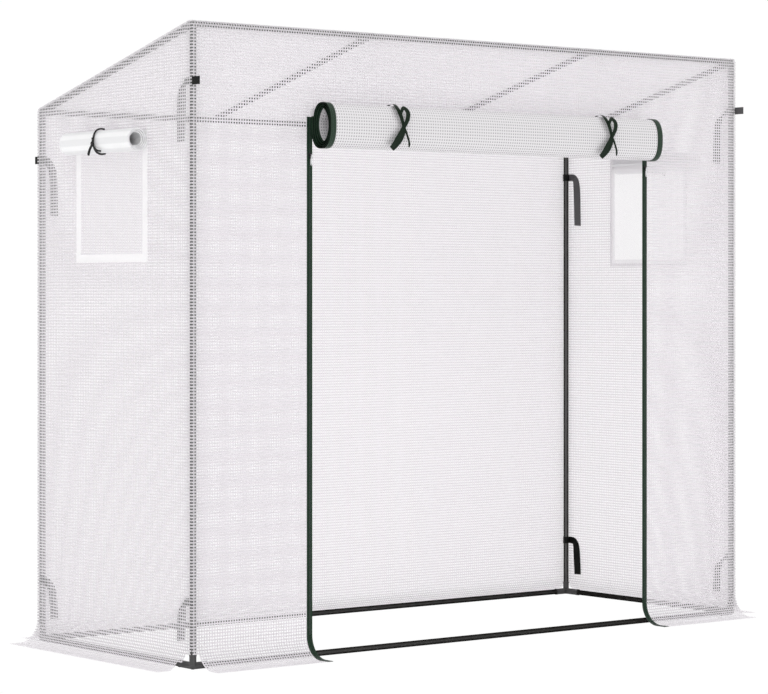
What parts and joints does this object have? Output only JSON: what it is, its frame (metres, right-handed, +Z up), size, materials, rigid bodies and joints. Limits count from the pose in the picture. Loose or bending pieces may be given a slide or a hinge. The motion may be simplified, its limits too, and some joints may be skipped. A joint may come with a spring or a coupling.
{
  "type": "lean-to greenhouse",
  "caption": "Lean-to walk-in greenhouse: tube frame under a gridded film cover with ground flaps, a roll-up zip door in front and a roll-up shade over a net window in each side.",
  "frame": {"origin": "on the ground, at the centre of the footprint with its ground flaps", "axes": "+X along the front, to the right as seen from the door side; +Y from the door side to the low back; +Z up"},
  "size_m": [2.1946, 0.9576, 1.6953],
  "materials": {
    "tube_steel": "satin",
    "connector_plastic": "matte",
    "cover_film": "satin",
    "door_film": "satin",
    "shade_film": "satin",
    "window_net": "matte",
    "white_border": "satin",
    "green_binding": "satin",
    "green_ribbon": "matte",
    "strap_webbing": "matte",
    "black_cord": "matte",
    "slider_metal": "gloss",
    "pull_metal": "satin"
  },
  "bodies": {
    "frame": {"post_front_left": "tube_steel", "post_front_right": "tube_steel", "post_back_left": "tube_steel", "post_back_right": "tube_steel", "base_rail_front": "tube_steel", "base_rail_back": "tube_steel", "base_rail_left": "tube_steel", "base_rail_right": "tube_steel", "ridge_rail_left": "tube_steel", "ridge_rail_middle": "tube_steel", "ridge_rail_right": "tube_steel", "eave_rail_left": "tube_steel", "eave_rail_middle": "tube_steel", "eave_rail_right": "tube_steel", "roof_bar_left_end": "tube_steel", "roof_bar_left_inner": "tube_steel", "roof_bar_right_inner": "tube_steel", "roof_bar_right_end": "tube_steel", "base_corner_front_left": "connector_plastic", "base_corner_front_right": "connector_plastic", "base_corner_back_left": "connector_plastic", "base_corner_back_right": "connector_plastic", "ridge_corner_left": "connector_plastic", "ridge_corner_right": "connector_plastic", "eave_corner_left": "connector_plastic", "eave_corner_right": "connector_plastic", "ridge_tee_left": "connector_plastic", "ridge_tee_right": "connector_plastic", "eave_tee_left": "connector_plastic", "eave_tee_right": "connector_plastic", "roof_sheet": "cover_film", "front_wall": "cover_film", "back_wall": "cover_film", "left_wall": "cover_film", "right_wall": "cover_film", "window_net_left": "window_net", "window_net_right": "window_net", "window_border_left": "white_border", "window_border_right": "white_border", "zip_tape_left": "green_binding", "zip_tape_right": "green_binding", "upper_straps": "strap_webbing", "lower_straps": "strap_webbing", "door_flap": "door_film", "window_flap_left": "shade_film", "window_flap_right": "shade_film"},
    "door": {"door_roll": "door_film", "door_edge_left": "green_binding", "door_edge_right": "green_binding", "door_tie_left": "green_ribbon", "door_tie_right": "green_ribbon"},
    "window_shade_left": {"window_roll_left": "shade_film", "window_tie_left": "black_cord"},
    "window_shade_right": {"window_roll_right": "shade_film", "window_tie_right": "black_cord"},
    "slider_left": {"zip_slider_left": "slider_metal"},
    "slider_right": {"zip_slider_right": "slider_metal"},
    "pull_left": {"zip_pull_left": "pull_metal"},
    "pull_right": {"zip_pull_right": "pull_metal"}
  },
  "joints": [
    {"name": "door_unroll", "type": "slide", "parent": "frame", "child": "door", "axis": [0, 0, -1], "range_m": [0, 1.345], "deforming": ["door_flap"]},
    {"name": "window_unroll_left", "type": "slide", "parent": "frame", "child": "window_shade_left", "axis": [0, 0, -1], "range_m": [0, 0.3], "deforming": ["window_flap_left"]},
    {"name": "window_unroll_right", "type": "slide", "parent": "frame", "child": "window_shade_right", "axis": [0, 0, -1], "range_m": [0, 0.3], "deforming": ["window_flap_right"]},
    {"name": "zip_slide_left", "type": "slide", "parent": "frame", "child": "slider_left", "axis": [0, 0, -1], "range_m": [0, 1.245]},
    {"name": "zip_slide_right", "type": "slide", "parent": "frame", "child": "slider_right", "axis": [0, 0, -1], "range_m": [0, 1.245]},
    {"name": "pull_swing_left", "type": "hinge", "parent": "slider_left", "child": "pull_left", "pos_m": [-0.62, -0.3926, 1.352], "axis": [-1, 0, 0], "range_deg": [0, 150]},
    {"name": "pull_swing_right", "type": "hinge", "parent": "slider_right", "child": "pull_right", "pos_m": [0.62, -0.3926, 1.352], "axis": [-1, 0, 0], "range_deg": [0, 150]}
  ]
}
